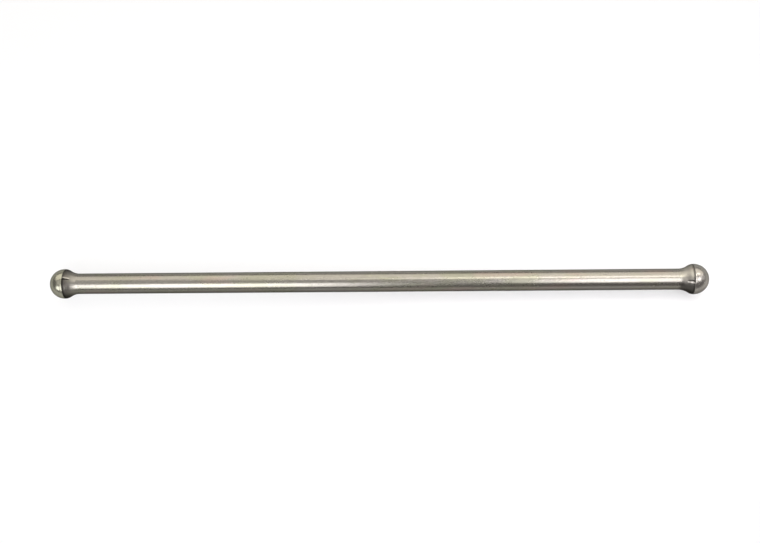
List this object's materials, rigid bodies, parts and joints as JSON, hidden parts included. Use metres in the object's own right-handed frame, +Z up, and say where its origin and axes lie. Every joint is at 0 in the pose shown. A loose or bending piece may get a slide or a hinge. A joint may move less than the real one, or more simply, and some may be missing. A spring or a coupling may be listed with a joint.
{
  "type": "engine pushrod",
  "caption": "Slim steel tube with trumpet-flared ends, each closed by a polished ball insert, that carries a cam follower's push to a rocker arm.",
  "frame": {"origin": "on the rod's axis, halfway between the tips of the two balls", "axes": "+X along the rod towards the right-hand ball, +Z up, with the open weld notches near the top"},
  "size_m": [0.244, 0.011, 0.011],
  "materials": {
    "drawn_steel": "drawn along its length, satin, darkened and faintly yellowed by oil",
    "polished_steel": "ground and polished"
  },
  "bodies": {
    "root": {"tube": "drawn_steel", "ball_end_left": "polished_steel", "ball_end_right": "polished_steel"}
  },
  "joints": []
}
